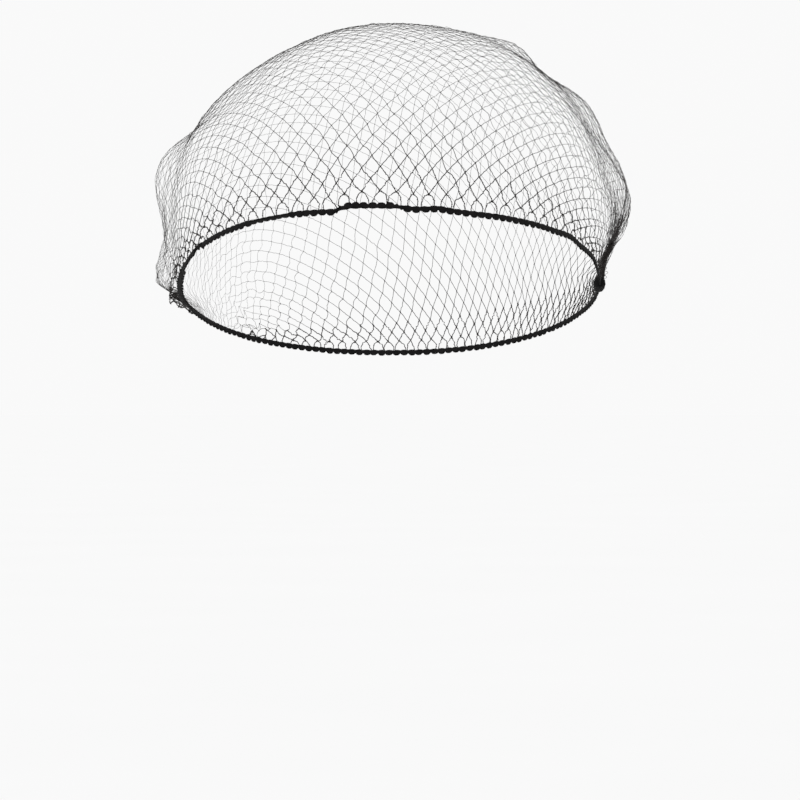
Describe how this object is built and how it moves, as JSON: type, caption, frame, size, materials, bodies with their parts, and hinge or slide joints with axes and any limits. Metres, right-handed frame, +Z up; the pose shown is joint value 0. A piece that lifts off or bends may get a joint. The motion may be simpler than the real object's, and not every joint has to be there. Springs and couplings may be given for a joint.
{
  "type": "hairnet",
  "caption": "Fine knotted net bag, gathered at both sides, on a narrow crocheted elastic band that holds hair close to the head.",
  "frame": {"origin": "centre of the opening, in the plane of the band", "axes": "+Z up as worn, -Y to the front, +X to the side where the band's ends are sewn together; the opening's plane tilts 14 degrees down to the back"},
  "size_m": [0.1665, 0.2002, 0.1116],
  "materials": {
    "net_yarn": "fine twisted dark brown yarn, matt",
    "elastic_yarn": "black crocheted elastic with a scalloped edge, matt"
  },
  "bodies": {
    "root": {"net_bag": "net_yarn", "elastic_band": "elastic_yarn", "band_join": "elastic_yarn", "right_gather": "net_yarn", "left_gather": "net_yarn"}
  },
  "joints": []
}
